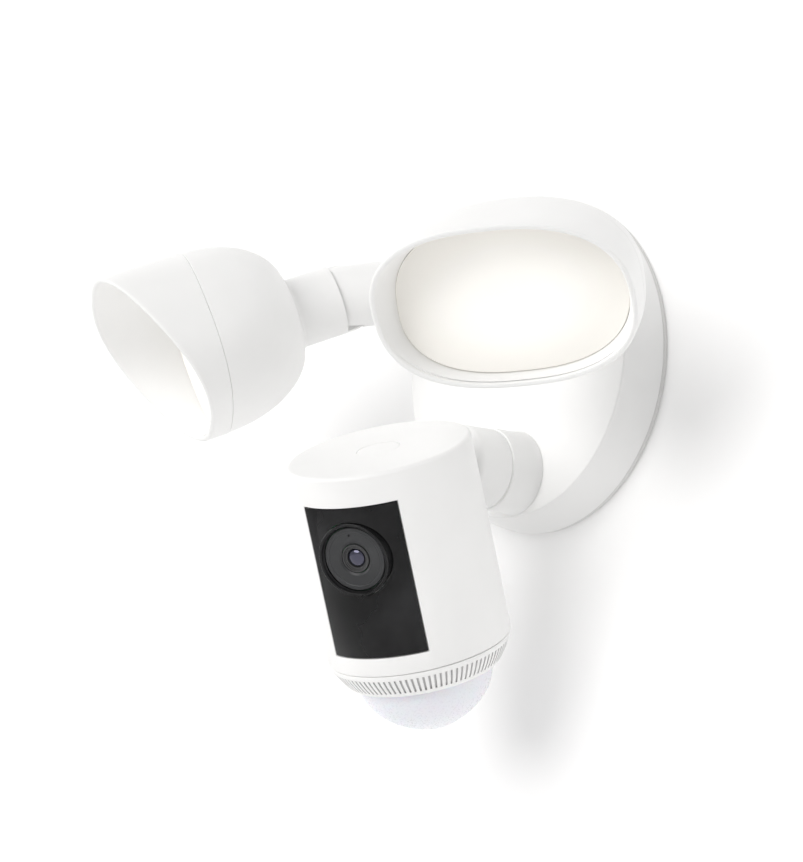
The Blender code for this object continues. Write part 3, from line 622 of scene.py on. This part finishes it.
def build_lens(lens_axis):
    """Raised ring, grey window with its pinhole, stepped tube and domed glass."""
    front, rim, glass_r = HEAD_R + 0.9, LENS_RING_R, 3.0
    profile = [(rim, 26.0), (rim, front - 0.35)] + arc(rim - 0.3, front - 0.3, 0.3, 0, 90, 5)
    profile += arc(rim - 0.75, front - 0.25, 0.25, 90, 180, 4)
    profile += [(rim - 1.25, front - 0.9), (rim - 1.5, front - 1.2), (rim - 1.5, 26.0)]
    finish(solid("lens_bezel", turned(profile, SEG_LENS, closed=True), lens_axis), BLACK, "head",
           "lens_ring", sharp=35)

    window_r = rim - 1.8
    profile = [(window_r, front - 2.4), (window_r, front - 1.5), (window_r - 0.2, front - 1.3),
               (window_r - 1.4, front - 1.3), (window_r - 1.6, front - 1.42),
               (window_r - 1.8, front - 1.34), (6.3, front - 1.34), (5.9, front - 1.45),
               (5.6, front - 1.75), (5.2, front - 2.0), (5.2, front - 2.4)]
    window = solid("lens_surround", turned(profile, SEG_LENS, closed=True), lens_axis)
    combine(window, rod(0.45, front - 1.9, front, 24), lens_axis @ at(-0.4, 8.4, 0))
    finish(window, GREY, "head", "lens_window", sharp=20)

    profile = [(4.9, 19.0), (4.9, front - 1.85), (4.75, front - 1.7), (4.5, front - 1.7),
               (4.35, front - 1.85), (4.35, front - 2.1), (3.9, front - 2.15),
               (3.85, front - 2.35), (3.4, front - 2.4), (3.3, front - 2.6), (3.3, 19.0)]
    finish(solid("lens_tube", turned(profile, closed=True), lens_axis), DARK, "head",
           "lens_barrel", sharp=20)

    glass = [(glass_r, front - 4.0), (glass_r, front - 3.0)]
    for degrees in range(6, 88, 6):
        a = math.radians(degrees)
        glass.append((glass_r * math.cos(a), front - 3.0 + 1.2 * math.sin(a)))
    finish(solid("front_element", turned(glass, 96), lens_axis), GLASS, "head", "lens_glass",
           sharp=50)


def build_grille(place):
    """Ring of narrow upright slots; the floor and walls of each slot are in shadow."""
    top, bottom = HEAD_SEAM - GAP, GRILLE_BOTTOM
    slot_top, slot_bottom, depth = top - 1.9, bottom + 1.5, 1.0
    pitch = 2 * math.pi / GRILLE_SLOTS

    def outer(z):
        share = (top - z) / (top - bottom)
        return HEAD_R - 0.2 + (GRILLE_R_BOTTOM - HEAD_R + 0.2) * share ** 1.35

    def level_ring(z, recess, inset=0.0):
        points = []
        for i in range(GRILLE_SLOTS):
            for share, cut in ((0.0, 0.0), (0.3, 0.0), (0.6, 0.0), (0.605, recess),
                               (0.8, recess), (0.995, recess)):
                angle = (i + share) * pitch
                r = outer(z) - inset - cut
                points.append((r * math.cos(angle), r * math.sin(angle), z))
        return points

    levels = [(top, 0.0, 0.3), (top - 0.1, 0.0, 0.08), (top - 0.35, 0.0, 0.0),
              (slot_top + 0.5, 0.0, 0.0), (slot_top, 0.0, 0.0), (slot_top - 0.02, depth, 0.0)]
    for i in range(1, 8):
        levels.append((slot_top + (slot_bottom - slot_top) * i / 8, depth, 0.0))
    levels += [(slot_bottom + 0.02, depth, 0.0), (slot_bottom, 0.0, 0.0),
               (slot_bottom - 0.5, 0.0, 0.0), (bottom + 0.4, 0.0, 0.0),
               (bottom + 0.1, 0.0, 0.1), (bottom, 0.0, 0.35)]
    sections = [level_ring(z, recess, inset) for z, recess, inset in levels]
    sections += [ring(GRILLE_CORE_R, z, len(sections[0])) for z in (bottom, top)]
    bm = stitch(sections, closed=True)
    for face in bm.faces:
        middle = face.calc_center_median()
        across = math.hypot(middle.x, middle.y)
        sunk = GRILLE_CORE_R + 2.1 < across < outer(middle.z) - depth * 0.4
        if sunk and slot_bottom < middle.z < slot_top:
            face.material_index = 1
    grille = solid("speaker_ring", bm, place)
    grille.data.materials.append(WHITE)
    grille.data.materials.append(SLOT)
    finish(grille, WHITE, "head", "speaker_grille", sharp=30)


def build_button(place):
    flange_r, stem_r = BUTTON_R + 1.4, 1.6
    button = [(2.0, 0.0)] + arc(BUTTON_R - 0.05, -0.2, 0.2, 90, 0, 5)
    button += [(BUTTON_R + 0.15, -2.0), (BUTTON_R, -2.5), (flange_r, -2.5), (flange_r, -3.4),
               (stem_r, -3.4), (stem_r, -4.6)]
    finish(solid("top_button", turned(button), place), WHITE, "button", "setup_button")


def build_dome(place):
    """A thin cup: its inner skin from tip to rim, then its outer skin from rim to tip."""
    steps, tip_r, top = 22, 0.4, GRILLE_BOTTOM - GAP
    depth = top - DOME_TIP

    def curve(radius, height):
        points = []
        for i in range(steps):
            a = math.pi / 2 * i / steps
            points.append((radius * math.cos(a) ** DOME_POWER, top - height * math.sin(a)))
        return points

    inner = [(tip_r, DOME_TIP + DOME_WALL)] + curve(DOME_RIM_R - DOME_WALL, depth - DOME_WALL)[::-1]
    outer = curve(DOME_RIM_R, depth) + [(tip_r, DOME_TIP)]
    finish(solid("sensor_dome", turned(inner + outer, 144), place), DOME, "head", "motion_dome",
           sharp=60)


def dress_cad_nodes():
    """Give every CAD node that still shows the procedural look of its own slot."""
    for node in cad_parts.values():
        for slot in node.material_slots:
            name = slot.material.name.split(".")[0] if slot.material else "white_plastic"
            slot.material = LOOKS.get(name, WHITE)


# ---- stage, lights and camera -------------------------------------------------------
def add_sun(name, toward, energy, angle, shadows):
    light = bpy.data.lights.new(name, "SUN")
    light.energy = energy
    light.angle = math.radians(angle)
    light.color = (1.0, 0.99, 0.98)
    light.use_shadow = shadows
    lamp = bpy.data.objects.new(name, light)
    lamp.rotation_mode = "QUATERNION"
    lamp.rotation_quaternion = Vector(toward).to_track_quat("Z", "Y")
    bpy.context.scene.collection.objects.link(lamp)


def build_wall():
    """A wall with a round opening behind the base, seen only from its front."""
    bm = bmesh.new()
    hole, far = [[bm.verts.new((x, WALL_Y, z)) for x, z in outline(radius, radius, 2.0, SEG_WALL)]
                 for radius in (WALL_HOLE_R, WALL_REACH)]
    for i in range(SEG_WALL):
        j = (i + 1) % SEG_WALL
        bm.faces.new((hole[i], hole[j], far[j], far[i]))
    wall = solid("backdrop_wall", bm)
    for polygon in wall.data.polygons:
        if polygon.normal.y > 0:
            polygon.flip()
    paint = surface("wall_paint", (0.93, 0.93, 0.93), (0.7, 0.9), 0.1, 300.0, 0.004, 8.0)
    nodes, links = paint.node_tree.nodes, paint.node_tree.links
    side = nodes.new("ShaderNodeNewGeometry")
    clear = nodes.new("ShaderNodeBsdfTransparent")
    mix = nodes.new("ShaderNodeMixShader")
    links.new(side.outputs["Backfacing"], mix.inputs["Fac"])
    links.new(nodes["Principled BSDF"].outputs["BSDF"], mix.inputs[1])
    links.new(clear.outputs["BSDF"], mix.inputs[2])
    links.new(mix.outputs["Shader"], nodes["Material Output"].inputs["Surface"])
    wall.data.materials.append(paint)
    return wall


def build_floor():
    bm = bmesh.new()
    bmesh.ops.create_grid(bm, x_segments=4, y_segments=4, size=FLOOR_REACH)
    floor = solid("floor", bm, at(0, 0, FLOOR_Z))
    floor.data.materials.append(surface("floor_paint", (0.90, 0.90, 0.90), (0.6, 0.8), 0.1,
                                        200.0, 0.006, 6.0))
    return floor


def build_studio():
    world = bpy.data.worlds.new("studio")
    world.use_nodes = True
    sky = world.node_tree.nodes["Background"]
    sky.inputs["Color"].default_value = (1.0, 1.0, 1.0, 1)
    sky.inputs["Strength"].default_value = SKY_STRENGTH
    bpy.context.scene.world = world
    wall = build_wall()
    floor = build_floor()
    add_sun("key", (0.14, -1.0, 0.36), 1.80, 46, True)
    add_sun("left_fill", (-0.85, -0.50, 0.30), 0.95, 30, False)


def build_camera():
    """Aim a long lens at the object from the azimuth, elevation and roll of the view."""
    a, e, r = (math.radians(v) for v in (CAM_AZIMUTH, CAM_ELEVATION, CAM_ROLL))
    back = Vector((math.sin(a) * math.cos(e), -math.cos(a) * math.cos(e), math.sin(e)))
    flat_right = Vector((math.cos(a), math.sin(a), 0))
    flat_up = back.cross(flat_right)
    right = math.cos(r) * flat_right + math.sin(r) * flat_up
    up = -math.sin(r) * flat_right + math.cos(r) * flat_up
    place = CAM_AIM[0] * right + CAM_AIM[1] * up + back * CAM_DISTANCE
    data = bpy.data.cameras.new("camera")
    data.lens = CAM_LENS
    data.clip_start, data.clip_end = 0.05, 50.0
    camera = bpy.data.objects.new("camera", data)
    turned_to = Matrix((right, up, back)).transposed().to_4x4()
    turned_to.translation = place * MM
    camera.matrix_world = turned_to
    bpy.context.scene.collection.objects.link(camera)
    bpy.context.scene.camera = camera
    bpy.context.scene.view_settings.view_transform = "Standard"


build_camera()
build_studio()
dress_cad_nodes()
build_base_cover()
build_base_back()
for lamp_name, (lamp_side, lamp_swivel, lamp_tilt) in LAMP_REST.items():
    build_lamp(lamp_name, lamp_side, lamp_swivel, lamp_tilt)
build_arm_socket()
build_camera_arm()
head_place = head_frame()
lens_place = head_place @ at(0, 0, LENS_Z) @ turn("X", 90)
build_head_shell(head_place, lens_place)
build_lens(lens_place)
build_grille(head_place)
build_button(head_place)
build_dome(head_place)
